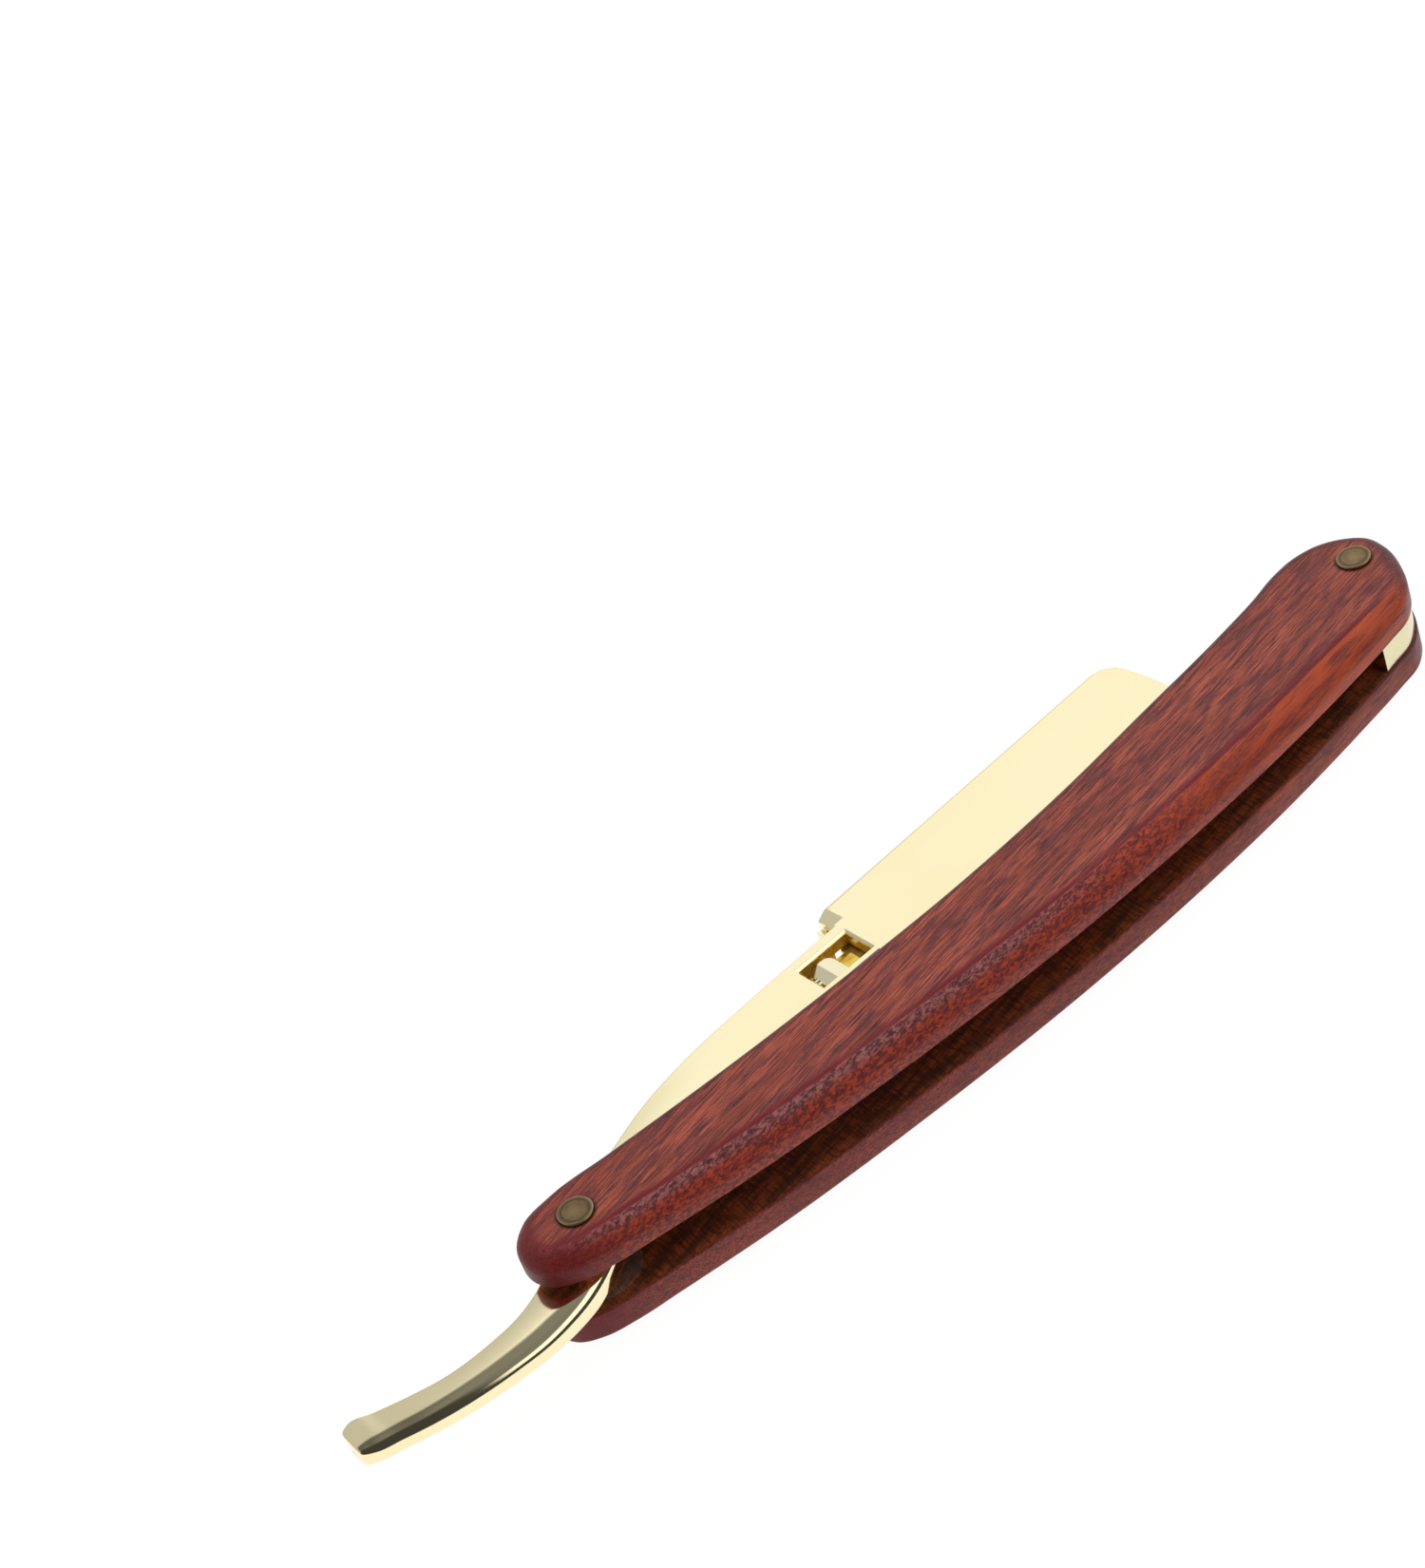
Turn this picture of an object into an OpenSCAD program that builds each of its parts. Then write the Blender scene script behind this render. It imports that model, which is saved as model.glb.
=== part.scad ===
// Folding barber's razor with wooden scales and a clamp for half of a double-edge blade.
// Frame: the pivot axis is Z at the origin, +X points to the butt rivet, +Y to the spine side,
// and z = 0 is the plane that the two rear rivet heads rest on.

/* [Scales] */
// Distance between the pivot rivet and the butt rivet
pin_span = 142; // [130:1:175]
// Thickness of each wooden scale
scale_t = 4.4; // [3.6:0.1:5.5]
// Clear gap between the scales at the pivot
gap_pivot = 6.1; // [5.9:0.1:7.5]
// Clear gap between the scales at the butt spacer
gap_butt = 4.05; // [4:0.05:5.8]
// Chamfer along the inner edges of the scales
inner_chamfer = 0.3; // [0.1:0.1:0.5]
// Edge rounding of the rear scale as a share of the front scale's
rear_round = 0.3; // [0.2:0.05:1]
// How far the butt spacer stands back from the edge of the scales
spacer_inset = 0.3; // [0.2:0.1:2]
// Length of the butt spacer along the scales, measured back from the butt rivet
spacer_back = 8.8; // [6:0.2:14]

/* [Rivets and washers] */
// Diameter of the rivet heads
head_d = 4.8; // [4:0.1:6]
// How far the rivet heads stand proud of the wood
head_proud = 0.4; // [0.2:0.1:0.8]
// How deep the rivet heads sit in the wood
head_sunk = 0.3; // [0.2:0.1:0.8]
// Outer diameter of the rivet tubes
tube_d = 3.2; // [2.8:0.1:3.6]
// Diameter of the rivet pins, pressed into the tubes
pin_d = 2.2; // [1.6:0.1:2.4]
// Diameter of the pivot washers
washer_d = 10.8; // [8:0.2:12]
// Thickness of the pivot washers
washer_t = 0.5; // [0.3:0.1:0.6]
// Radial clearance of everything that turns on a pin
pin_play = 0.05; // [0.02:0.01:0.1]
// Free space between the tang and each washer
side_play = 0.3; // [0.2:0.05:0.4]

/* [Blade arm] */
// Reach of the tail behind the pivot
tail_reach = 38.7; // [32:0.5:46]
// Thickness of the tail at its tip
tail_tip_t = 3.3; // [2.6:0.1:3.8]
// Distance from the pivot to the heel of the head
head_from = 55.7; // [54:0.1:66]
// Length of the head along the spine
head_len = 57.8; // [54:0.2:70]
// Height of the head's plate from spine to lower edge
head_h = 15.2; // [14:0.2:17]
// Angle of the head's spine to the line of the rivets
head_yaw = 2.2; // [0:0.2:4]
// Drop of the head's hollow front face, in degrees
face_drop = 2; // [0:0.2:2.4]
// Thickness of the bar along the spine, behind which the clamp leaf nests
spine_bar = 1.5; // [1:0.1:2]

/* [Blade] */
// Length of the half blade
blade_len = 43; // [40:0.5:45]
// Width of the half blade
blade_w = 11; // [10:0.2:11.4]
// Thickness of the blade
blade_t = 0.1; // [0.1:0.01:0.2]
// How far the edge stands out of the head's plate
edge_reveal = 1.6; // [1:0.1:2]
// Radius of the pegs that locate the blade
peg_r = 1.2; // [1:0.1:1.4]

/* [Clamp leaf] */
// Thickness of the clamp leaf along its edge
leaf_t = 1.4; // [1.3:0.05:1.45]
// Thickness of the clamp leaf where it is relieved for the pegs
leaf_web = 0.7; // [0.6:0.05:0.8]
// Free space between the clamp leaf and the blade
leaf_play = 0.1; // [0.08:0.01:0.12]
// Radius of the pin that the clamp leaf swings on
leaf_pin_r = 1; // [0.8:0.1:1.2]
// How far the thumb tab stands out past the heel of the head
tab_out = 1; // [0.5:0.1:1.4]

/* [Release latch] */
// Length of the window in the shank
window_l = 8.4; // [8.2:0.1:9.6]
// Width of the window in the shank
window_w = 5.1; // [4.6:0.1:5.4]
// Travel of the release latch
latch_travel = 0.9; // [0.6:0.1:1]
// Length of the latch's pad
latch_l = 3.6; // [3.2:0.1:3.8]
// Radius of the latch's round stem
stem_r = 0.8; // [0.7:0.05:0.9]
// Wire diameter of the return spring
spring_wire = 0.26; // [0.2:0.02:0.3]
// Number of turns of the return spring
spring_turns = 5; // [4:1:7]

/* [Hidden] */
$fn = 64;
eps = 0.01;
far = 60;

wood = [0.55, 0.24, 0.18];
gold = [0.95, 0.88, 0.66];
olive_brass = [0.45, 0.39, 0.27];
clear_nylon = [0.85, 0.83, 0.78];
blade_steel = [0.78, 0.79, 0.8];

// Heights. The front scale leans towards the rear one, so its faces fall with x.
lean = (gap_pivot - gap_butt) / pin_span;
rear_in = head_proud + scale_t;
function front_in(x) = rear_in + gap_pivot - lean * x;
function front_out(x) = front_in(x) + scale_t;
front_washer_top = front_in(washer_d / 2);
arm_lo = rear_in + washer_t + side_play;
arm_hi_0 = front_washer_top - washer_t - side_play - lean * washer_d / 2;
function arm_hi(x) = arm_hi_0 - lean * max(x, 0);
leaf_lo = arm_lo;
leaf_hi = leaf_lo + leaf_t;
blade_hi = leaf_hi + leaf_play + blade_t;
plate_lo = blade_hi;

// Rivets
head_t = head_proud + head_sunk;
head_edge = 0.18;
tube_floor = 1.6;
tube_short = 0.4;
pin_short = 0.6;
pivot_top = front_out(0) + head_proud;
butt_top = front_out(pin_span) + head_proud;

// Head. It has a frame of its own: +X along the spine from the heel, the plate on its -Y side
head_y = 18.5;
heel_bevel = 1.7;
heel_bevel_drop = 1;
spine_bevel = 0.35;
head_shoulder = 4.4;
toe_bow = 30;
toe_corner_r = 4;

// Pin of the clamp leaf, in the frame of the head
leaf_pin_u = head_len - 4.8;
leaf_pin_v = -8.6;
leaf_pin_seat = 0.45;
leaf_pin_head_r = 1.9;
leaf_pin_head_t = 0.4;
boss_r = 2.3;
boss_gap = 0.6;

// Blade and its pegs, in the frame of the head
blade_u = leaf_pin_u - boss_r - boss_gap - blade_len;
blade_v = -head_h - edge_reveal;
end_peg = 0.16;
peg_places = [end_peg, 0.5, 1 - end_peg];
peg_play = 0.1;
peg_seat = 0.5;
peg_bottom = leaf_lo + leaf_web + 0.15;

// The window and everything in it follow the heel of the head
window_x = head_from - 8.3;
window_y = 7.8;
window_rim = 0.4;
stem_y = window_y + window_w / 2;
stem_z = plate_lo + 0.15;
stem_l = 6.6;
spring_room = 4.2;
spring_gap = 0.05;
latch_x = window_x + latch_travel + 0.1;
bore_end = latch_x - stem_l - spring_room;
pad_drop = 0.95;
pad_gap = 0.35;
pad_corner_r = 1.4;
pad_slope = 0.8;

// Clamp leaf
bar_gap = 0.3;
land_w = 2.4;
leaf_edge_t = 0.5;
wall_y = window_y + window_w + 0.4;
tongue_x = window_x - 1.4;
tongue_y = 6.4;
tongue_t = 0.55;
tongue_gap = 0.4;
overlap = 2;
nose_lo = leaf_lo + tongue_t + leaf_play;
nose_t = 0.35;
nose_l = 1;
nose_w = 2.4;
lip_lo = nose_lo + nose_t + leaf_play;
lip_over = 0.5;
catch_x = latch_x + latch_l + nose_l - lip_over;
catch_l = 2;
catch_w = 2;

// ---- Curves -------------------------------------------------------------------------------

function gap(a, b) = norm([b[0] - a[0], b[1] - a[1]]);
function tangent(a, b, c) =
    (b - a) / gap(a, b) - (c - a) / (gap(a, b) + gap(b, c)) + (c - b) / gap(b, c);
function between(p, q, m, n, d, t) =
    (2 * t * t * t - 3 * t * t + 1) * p + (t * t * t - 2 * t * t + t) * d * m
    + (3 * t * t - 2 * t * t * t) * q + (t * t * t - t * t) * d * n;

// Smooth closed curve through the keys k, with n points to a span
function closed_curve(k, n) = let (c = len(k))
    [for (i = [0 : c - 1], s = [0 : n - 1])
        let (a = k[(i + c - 1) % c], b = k[i], d = k[(i + 1) % c], e = k[(i + 2) % c])
        between(b, d, tangent(a, b, d), tangent(b, d, e), gap(b, d), s / n)];

// Smooth open curve through the keys k, with n points to a span
function open_curve(k, n) = let (c = len(k) - 1)
    [for (i = [0 : c - 1], s = [0 : (i == c - 1 ? n : n - 1)])
        let (b = k[i], d = k[i + 1],
             m = i == 0 ? (d - b) / gap(b, d) : tangent(k[i - 1], b, d),
             e = i == c - 1 ? (d - b) / gap(b, d) : tangent(b, d, k[i + 2]))
        between(b, d, m, e, gap(b, d), s / n)];

function arc(x, y, r, from, to, n = 8) =
    [for (i = [0 : n]) [x + r * cos(from + (to - from) * i / n), y + r * sin(from + (to - from) * i / n)]];

// Outward direction at point i of a closed curve that runs clockwise
function outward(p, i) = let (c = len(p), d = p[(i + 1) % c] - p[(i + c - 1) % c], l = norm([d[0], d[1]]))
    [-d[1] / l, d[0] / l];
function inset_point(p, i, by) = [p[i][0], p[i][1]] - by * outward(p, i);

// Closed solid from rings that all have the same even number of points. Its two ends are strips
// of triangles between the points on either side of a ring's first and middle point.
module skin(rings) {
    n = len(rings[0]);
    last = (len(rings) - 1) * n;
    points = [for (r = rings) for (p = r) p];
    sides = [for (j = [0 : len(rings) - 2], i = [0 : n - 1]) each
        [[j * n + i, (j + 1) * n + i, j * n + (i + 1) % n],
         [j * n + (i + 1) % n, (j + 1) * n + i, (j + 1) * n + (i + 1) % n]]];
    end = concat(
        [for (i = [0 : n / 2 - 2]) [i + 1, n - i - 1, (n - i) % n]],
        [for (i = [1 : n / 2 - 1]) [i, i + 1, n - i]]);
    polyhedron(points, concat(end, sides, [for (t = end) [last + t[2], last + t[1], last + t[0]]]),
        convexity = 6);
}

// ---- Scales ---------------------------------------------------------------------------------

function along(share) = share * pin_span;
function from_butt(x) = pin_span + x;

// Outline of both scales, clockwise from the pivot end: x, y and the radius of the outer edge
scale_keys = [
    [-8.9, -0.6, 2.4], [-7.9, 3.1, 2], [-5, 5.2, 1.5], [0, 5.7, 1.1], [9, 4.7, 0.9],
    [along(0.19), 3, 0.8], [along(0.34), 1.8, 0.8], [along(0.47), 1.4, 0.8], [along(0.6), 2.1, 0.8],
    [along(0.74), 4, 0.8], [from_butt(-21), 5.7, 0.9], [from_butt(-13), 6.9, 1], [from_butt(-8), 8, 1.1],
    [from_butt(-3.6), 8.2, 1.2], [from_butt(0.2), 7.2, 1.3], [from_butt(3), 5.2, 1.4],
    [from_butt(5), 2, 1.4], [from_butt(4.8), -1.6, 1.5], [from_butt(3), -5.6, 1.6],
    [from_butt(0), -9.4, 1.8], [from_butt(-2.6), -11.1, 2.2], [from_butt(-7), -12, 2.6],
    [from_butt(-15), -13.1, 3], [along(0.76), -14.9, 3.1], [along(0.62), -15.6, 3.1],
    [along(0.48), -15.3, 3.1], [along(0.31), -13.6, 3.1], [along(0.14), -10.8, 3],
    [5, -8.1, 2.9], [-1, -6.9, 2.8], [-5.4, -5.4, 2.7], [-8, -3.3, 2.5]];
scale_outline = closed_curve(scale_keys, 4);

// Scale lying on its inner face at z = 0, falling by fall per mm, its outer edge rounded by
// a share of the radii of the outline
module scale_slab(fall, share) {
    steps = 4;
    n = len(scale_outline);
    function ring(by, z) = [for (i = [0 : n - 1])
        let (q = inset_point(scale_outline, i, by(i))) [q[0], q[1], z(i) - fall * q[0]]];
    function r(i) = share * scale_outline[i][2];
    skin(concat(
        [for (k = [0 : steps]) let (a = 90 - 90 * k / steps)
            ring(function (i) r(i) * (1 - cos(a)), function (i) scale_t - r(i) * (1 - sin(a)))],
        [ring(function (i) 0, function (i) inner_chamfer),
         ring(function (i) inner_chamfer, function (i) 0)]));
}

// Hole for a rivet and the seat of its head, with the seat's floor at z = seat, facing up
module rivet_hole(seat) {
    translate([0, 0, -far]) cylinder(h = 2 * far, r = tube_d / 2);
    translate([0, 0, seat]) cylinder(h = far, r = head_d / 2 + pin_play);
}

module front_scale() color(wood) difference() {
    translate([0, 0, front_in(0)]) scale_slab(lean, 1);
    rivet_hole(front_out(0) - head_sunk);
    translate([pin_span, 0, 0]) rivet_hole(front_out(pin_span) - head_sunk);
}

module rear_scale() color(wood) translate([0, 0, rear_in]) mirror([0, 0, 1]) difference() {
    scale_slab(0, rear_round);
    rivet_hole(scale_t - head_sunk);
    translate([pin_span, 0, 0]) rivet_hole(scale_t - head_sunk);
}

// Everything above a plane that falls with x and passes z at x = 0
module above(z) translate([0, 0, z]) rotate([0, atan(lean), 0])
    translate([-4 * far, -2 * far, 0]) cube([8 * far, 4 * far, far]);

module butt_spacer() color(gold) difference() {
    intersection() {
        translate([0, 0, rear_in]) linear_extrude(gap_pivot)
            polygon([for (i = [0 : len(scale_outline) - 1]) inset_point(scale_outline, i, spacer_inset)]);
        translate([pin_span - spacer_back, -far, 0]) cube([far, 2 * far, far]);
    }
    above(front_in(0) - eps);
    translate([pin_span, 0, 0]) cylinder(h = far, r = tube_d / 2);
}

// ---- Rivets and washers ---------------------------------------------------------------------

// Rivet head with a small bevel, its outer face at z = 0 and facing down
module rivet_head() {
    r = head_d / 2;
    rotate_extrude() polygon([[0, 0], [r - head_edge, 0], [r, head_edge], [r, head_t], [0, head_t]]);
}

// Rear half of a rivet: head, and a tube that reaches almost to the front head
module rivet_tube(top) difference() {
    union() {
        rivet_head();
        translate([0, 0, head_t - eps]) cylinder(h = top - 2 * head_t - tube_short + eps, r = tube_d / 2);
    }
    translate([0, 0, tube_floor]) cylinder(h = far, r = pin_d / 2);
}

// Front half of a rivet: head, and a pin that fills the tube
module rivet_pin(top) {
    pin_end = tube_floor + pin_short;
    translate([0, 0, top]) mirror([0, 0, 1]) rivet_head();
    translate([0, 0, pin_end]) cylinder(h = top - head_t - pin_end + eps, r = pin_d / 2);
}

module pivot_rivet_pin() color(olive_brass) rivet_pin(pivot_top);
module pivot_rivet_tube() color(olive_brass) rivet_tube(pivot_top);
module butt_rivet_pin() color(olive_brass) translate([pin_span, 0, 0]) rivet_pin(butt_top);
module butt_rivet_tube() color(olive_brass) translate([pin_span, 0, 0]) rivet_tube(butt_top);

module washer() difference() {
    cylinder(h = washer_t, r = washer_d / 2);
    translate([0, 0, -eps]) cylinder(h = washer_t + 2 * eps, r = tube_d / 2 + pin_play);
}
module front_washer() color(clear_nylon) translate([0, 0, front_washer_top - washer_t]) washer();
module rear_washer() color(clear_nylon) translate([0, 0, rear_in]) washer();

// ---- Blade arm ------------------------------------------------------------------------------

module at_head() translate([head_from, head_y, 0]) rotate([0, 0, head_yaw]) children();

// Thickness of the tail falls evenly to both sides towards its tip
tip_drop = arm_hi_0 - arm_lo - tail_tip_t;
function tail_share(x) = min(1, max(0, -x - 7) / (tail_reach - 7));
function tang_lo(x) = arm_lo + tip_drop * tail_share(x);
function tang_hi(x) = arm_hi(x);
// The tail's stations are laid out for a reach of 38.7 and stretch behind the pivot boss
function tail_x(x) = x > -7 ? x : -7 + (x + 7) * (tail_reach - 7) / 31.7;

// Stations from the tip of the tail to the head: spine side x, y; edge side x, y;
// pull-in of the faces; edge radius on the spine side and on the edge side
arm_keys = [
    [-38.4, 1.6, -38.7, -0.8, 0.5, 0.35, 0.35], [-38, 3, -38.4, -1.8, 0.1, 0.45, 0.7],
    [-36.8, 3.5, -37.2, -2.6, 0, 0.5, 1.1], [-33.6, 2.1, -33.9, -3.8, 0, 0.5, 1.3],
    [-29.5, 0.4, -29.6, -5.3, 0, 0.5, 1.4], [-24.5, -1.2, -24.4, -6.6, 0, 0.5, 1.5],
    [-18.5, -1.8, -18.3, -7.5, 0, 0.5, 1.6], [-12.6, -1.4, -12.3, -7.8, 0, 0.5, 1.7],
    [-8, 0.3, -6.6, -7.1, 0, 0.5, 1.7], [-4.4, 3, -2.4, -5.8, 0, 0.5, 1.6],
    [-0.4, 5, 1.6, -3.9, 0, 0.4, 1.4], [5, 7, 6.6, -1.4, 0, 0.35, 1.2],
    [12.5, 10, 13.2, 1.2, 0, 0.35, 1], [20, 12.4, 20.5, 3.4, 0, 0.35, 0.8],
    [28, 13.8, 28.2, 5, 0, 0.35, 0.7], [40, 14.6, 40, 5.9, 0, 0.35, 0.6],
    [head_from - 1.4, 15, head_from - 1.4, 6.2, 0, 0.35, 0.5],
    [head_from + 2.6, 15.1, head_from + 2.6, 6.2, 0, 0.35, 0.5]];

// How much wider than high the rounding on the edge side of the tail is
tail_spread = 0.85;

// Section of the arm at one station, with its four edges rounded
function arm_ring(k) = let (
        steps = 3,
        s = [tail_x(k[0]), k[1]],
        e = [tail_x(k[2]), k[3]],
        u = (e - s) / norm(e - s),
        w = norm(e - s),
        lo = tang_lo(s[0]) + k[4],
        hi = tang_hi(s[0]) - k[4],
        wide = k[6] * (1 + tail_spread * min(1, max(0, -s[0] / 12))),
        corners = [[k[5], hi - k[5], k[5], 180, k[5]], [w - wide, hi - k[6], k[6], 90, wide],
                   [w - wide, lo + k[6], k[6], 0, wide], [k[5], lo + k[5], k[5], -90, k[5]]])
    [for (c = corners, j = [0 : steps]) let (
            a = c[3] - 90 * j / steps,
            q = s + u * (c[0] + c[4] * cos(a)))
        [q[0], q[1], c[1] + c[2] * sin(a)]];

module tail_and_shank() skin([for (k = open_curve(arm_keys, 4)) arm_ring(k)]);

// Outline of a plate of the head: top margin, toe margin and the radius of the toe corner
function head_outline(top, toe, heel, low, r) = let (
        u = head_len - toe,
        bow = asin((head_h / 2 - 3) / toe_bow))
    concat([[heel, -low], [heel, -top]],
        arc(u - r - toe_bow * (1 - cos(bow)), -top - r, r, 90, bow + 4),
        arc(u - toe_bow, -head_h / 2 - 1.2, toe_bow, bow, -bow, 12),
        arc(u - 1.6, -low + 1, 1, -bow, -90));

module head_plate() difference() {
    at_head() union() {
        translate([0, 0, plate_lo]) linear_extrude(gap_pivot)
            polygon(head_outline(0, 0, 0, head_h, toe_corner_r));
        translate([0, 0, arm_lo]) linear_extrude(gap_pivot) intersection() {
            polygon(head_outline(0, 0, heel_bevel, head_h, toe_corner_r));
            translate([0, -spine_bar]) square([head_len, spine_bar]);
        }
    }
    above(arm_hi_0);
    // Hollow front face, which falls away from the spine past the shoulder
    at_head() translate([head_shoulder, -1, arm_hi(head_from) + eps]) rotate([0, atan(lean), 0])
        rotate([face_drop, 0, 0]) translate([0, -2 * far, 0]) cube([2 * far, 2 * far, far]);
    // Bevels along the heel and the spine
    at_head() translate([heel_bevel, 0, arm_hi(head_from + heel_bevel)])
        rotate([0, -atan(heel_bevel_drop / heel_bevel), 0]) translate([-far, -3.4, 0]) cube([far, far, far]);
    at_head() translate([0, -spine_bevel, arm_hi(head_from)]) rotate([0, atan(lean), 0])
        rotate([-45, 0, 0]) translate([-far, 0, 0]) cube([4 * far, far, far]);
}

// Window with a bevelled rim
module window_cut() {
    l = window_l / 2;
    w = window_w / 2;
    function frame(by, z) = [
        [-l - by, -w - by, z], [-l - by, w + by, z], [l + by, w + by, z], [l + by, -w - by, z]];
    translate([window_x + l, window_y + w, arm_hi(window_x + l)]) rotate([0, atan(lean), 0])
        skin([frame(2 * window_rim, window_rim), frame(0, -window_rim), frame(0, -far)]);
}

// Room behind the plate for the clamp leaf, its tongue and its thumb tab, open to the edge side
module leaf_room() {
    tab_room = head_from - tab_out - 1.2;
    translate([tongue_x - tongue_gap, -far, 0]) cube([far, far + wall_y, plate_lo]);
    translate([tab_room, -far, 0]) cube([head_from + heel_bevel - tab_room, 2 * far, plate_lo]);
    at_head() translate([0, -2 * far - spine_bar, 0]) cube([2 * far, 2 * far, plate_lo]);
}

module blade_arm() color(gold) difference() {
    union() {
        tail_and_shank();
        head_plate();
    }
    leaf_room();
    window_cut();
    translate([0, 0, -eps]) cylinder(h = far, r = tube_d / 2 + pin_play);
    translate([bore_end, stem_y, stem_z]) rotate([0, 90, 0])
        cylinder(h = window_x - bore_end + eps, r = stem_r + pin_play);
    at_leaf_pin() translate([0, 0, plate_lo - eps]) cylinder(h = leaf_pin_seat + eps, r = leaf_pin_r);
    at_pegs() translate([0, 0, plate_lo - eps]) cylinder(h = peg_seat + eps, r = peg_r);
}

// ---- Blade and pegs -------------------------------------------------------------------------

module at_pegs() at_head() for (share = peg_places)
    translate([blade_u + share * blade_len, blade_v + blade_w, 0]) children();

module blade_pegs() color(gold) at_pegs() translate([0, 0, peg_bottom])
    cylinder(h = plate_lo + peg_seat - peg_bottom, r = peg_r);

// Half of a double-edge blade: narrow ears at the ends, and half holes along the snapped side
module razor_blade() color(blade_steel) difference() {
    ear_l = 2.8;
    ear_set = 3.2;
    snap_set = 0.8;
    bevel_w = 0.5;
    at_head() translate([blade_u, blade_v, plate_lo - blade_t]) difference() {
        linear_extrude(blade_t) difference() {
            square([blade_len, blade_w]);
            for (x = [-eps, blade_len - ear_l + eps])
                translate([x, -eps]) square([ear_l, ear_set + eps]);
            translate([end_peg * blade_len, blade_w - snap_set])
                square([(1 - 2 * end_peg) * blade_len, blade_w]);
        }
        // Ground edge
        for (z = [0, blade_t]) translate([-1, 0, blade_t / 2])
            mirror([0, 0, z == 0 ? 1 : 0]) rotate([atan(blade_t / 2 / bevel_w), 0, 0])
                translate([0, -bevel_w, 0]) cube([blade_len + 2, 2 * bevel_w, blade_t]);
    }
    at_pegs() cylinder(h = far, r = peg_r + peg_play);
}

// ---- Clamp leaf -----------------------------------------------------------------------------

module at_leaf_pin() at_head() translate([leaf_pin_u, leaf_pin_v, 0]) children();

module clamp_leaf() color(gold) difference() {
    union() {
        at_head() difference() {
            translate([0, 0, leaf_lo]) linear_extrude(leaf_t)
                polygon(head_outline(spine_bar + bar_gap, 0.4, heel_bevel, head_h, 4));
            // Relief for the pegs, open to the spine side
            translate([-far, -head_h + land_w, leaf_lo + leaf_web]) cube([3 * far, far, far]);
            // Bevel on the outer face along the edge
            translate([-far, -head_h, leaf_lo + leaf_edge_t]) rotate([-18, 0, 0])
                translate([0, -far, -far]) cube([3 * far, 2 * far, far]);
        }
        at_leaf_pin() translate([0, 0, leaf_lo]) cylinder(h = plate_lo - leaf_lo - leaf_play / 2, r = boss_r);
        // Tongue that forms the floor under the window
        translate([tongue_x, tongue_y, leaf_lo])
            cube([head_from + heel_bevel + overlap - tongue_x, wall_y - bar_gap - tongue_y, tongue_t]);
        // Thumb tab at the corner of heel and spine
        translate([head_from - tab_out, tongue_y, leaf_lo])
            cube([tab_out + heel_bevel + overlap, head_y - spine_bar - bar_gap - tongue_y, tongue_t]);
        translate([head_from - tab_out, wall_y + bar_gap, leaf_lo])
            cube([tab_out + heel_bevel - bar_gap, head_y - 0.4 - wall_y - bar_gap, leaf_t]);
        // Catch with a lip that the latch's nose slides under
        translate([catch_x + lip_over + 0.2, stem_y - catch_w / 2, leaf_lo])
            cube([catch_l - lip_over, catch_w, plate_lo - leaf_play - leaf_lo]);
        translate([catch_x, stem_y - catch_w / 2, lip_lo])
            cube([catch_l, catch_w, plate_lo - leaf_play - lip_lo]);
    }
    at_leaf_pin() cylinder(h = far, r = leaf_pin_r + pin_play);
    at_leaf_pin() translate([0, 0, leaf_lo - eps])
        cylinder(h = leaf_pin_head_t + 0.05 + eps, r = leaf_pin_head_r + pin_play);
}

module clamp_pin() color(gold) at_leaf_pin() {
    translate([0, 0, leaf_lo]) cylinder(h = leaf_pin_head_t, r = leaf_pin_head_r);
    translate([0, 0, leaf_lo]) cylinder(h = plate_lo + leaf_pin_seat - leaf_lo, r = leaf_pin_r);
}

// ---- Release latch --------------------------------------------------------------------------

module release_latch() color(gold) {
    pad_hi = arm_hi(window_x) - pad_drop;
    // Pad with a flat top that slopes down towards the tail, round at its spine corner
    intersection() {
        translate([0, window_y + window_w, 0]) rotate([90, 0, 0]) linear_extrude(window_w)
            polygon([[latch_x, nose_lo], [latch_x, pad_hi - pad_slope],
                     [latch_x + 0.45 * latch_l, pad_hi],
                     [latch_x + 2 * latch_l, pad_hi], [latch_x + 2 * latch_l, nose_lo]]);
        translate([0, 0, -eps]) linear_extrude(far) polygon(concat(
            [[latch_x - 1, window_y + pad_gap], [latch_x - 1, window_y + window_w - pad_gap]],
            arc(latch_x + latch_l - pad_corner_r, window_y + window_w - pad_gap - pad_corner_r,
                pad_corner_r, 90, 0),
            [[latch_x + latch_l, window_y + pad_gap]]));
    }
    translate([latch_x + latch_l - eps, stem_y - nose_w / 2, nose_lo]) cube([nose_l + eps, nose_w, nose_t]);
    translate([latch_x - stem_l, stem_y, stem_z]) rotate([0, 90, 0]) cylinder(h = stem_l + eps, r = stem_r);
}

// Round wire coiled along X between the end of the bore and the latch's stem
module latch_spring() color(blade_steel) {
    coil_r = stem_r - spring_wire / 2 - spring_gap;
    length = spring_room - spring_wire - 2 * spring_gap;
    sides = 6;
    per_turn = 10;
    count = spring_turns * per_turn;
    translate([bore_end + spring_wire / 2 + spring_gap, stem_y, stem_z]) skin([for (i = [0 : count]) let (
            a = 360 * i / per_turn,
            x = length * i / count)
        [for (j = [0 : sides - 1]) let (b = -360 * j / sides, q = coil_r + spring_wire / 2 * cos(b))
            [x + spring_wire / 2 * sin(b), q * cos(a), q * sin(a)]]]);
}

front_scale();
rear_scale();
butt_spacer();
pivot_rivet_pin();
pivot_rivet_tube();
butt_rivet_pin();
butt_rivet_tube();
front_washer();
rear_washer();
blade_arm();
clamp_leaf();
clamp_pin();
blade_pegs();
razor_blade();
release_latch();
latch_spring();
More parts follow.
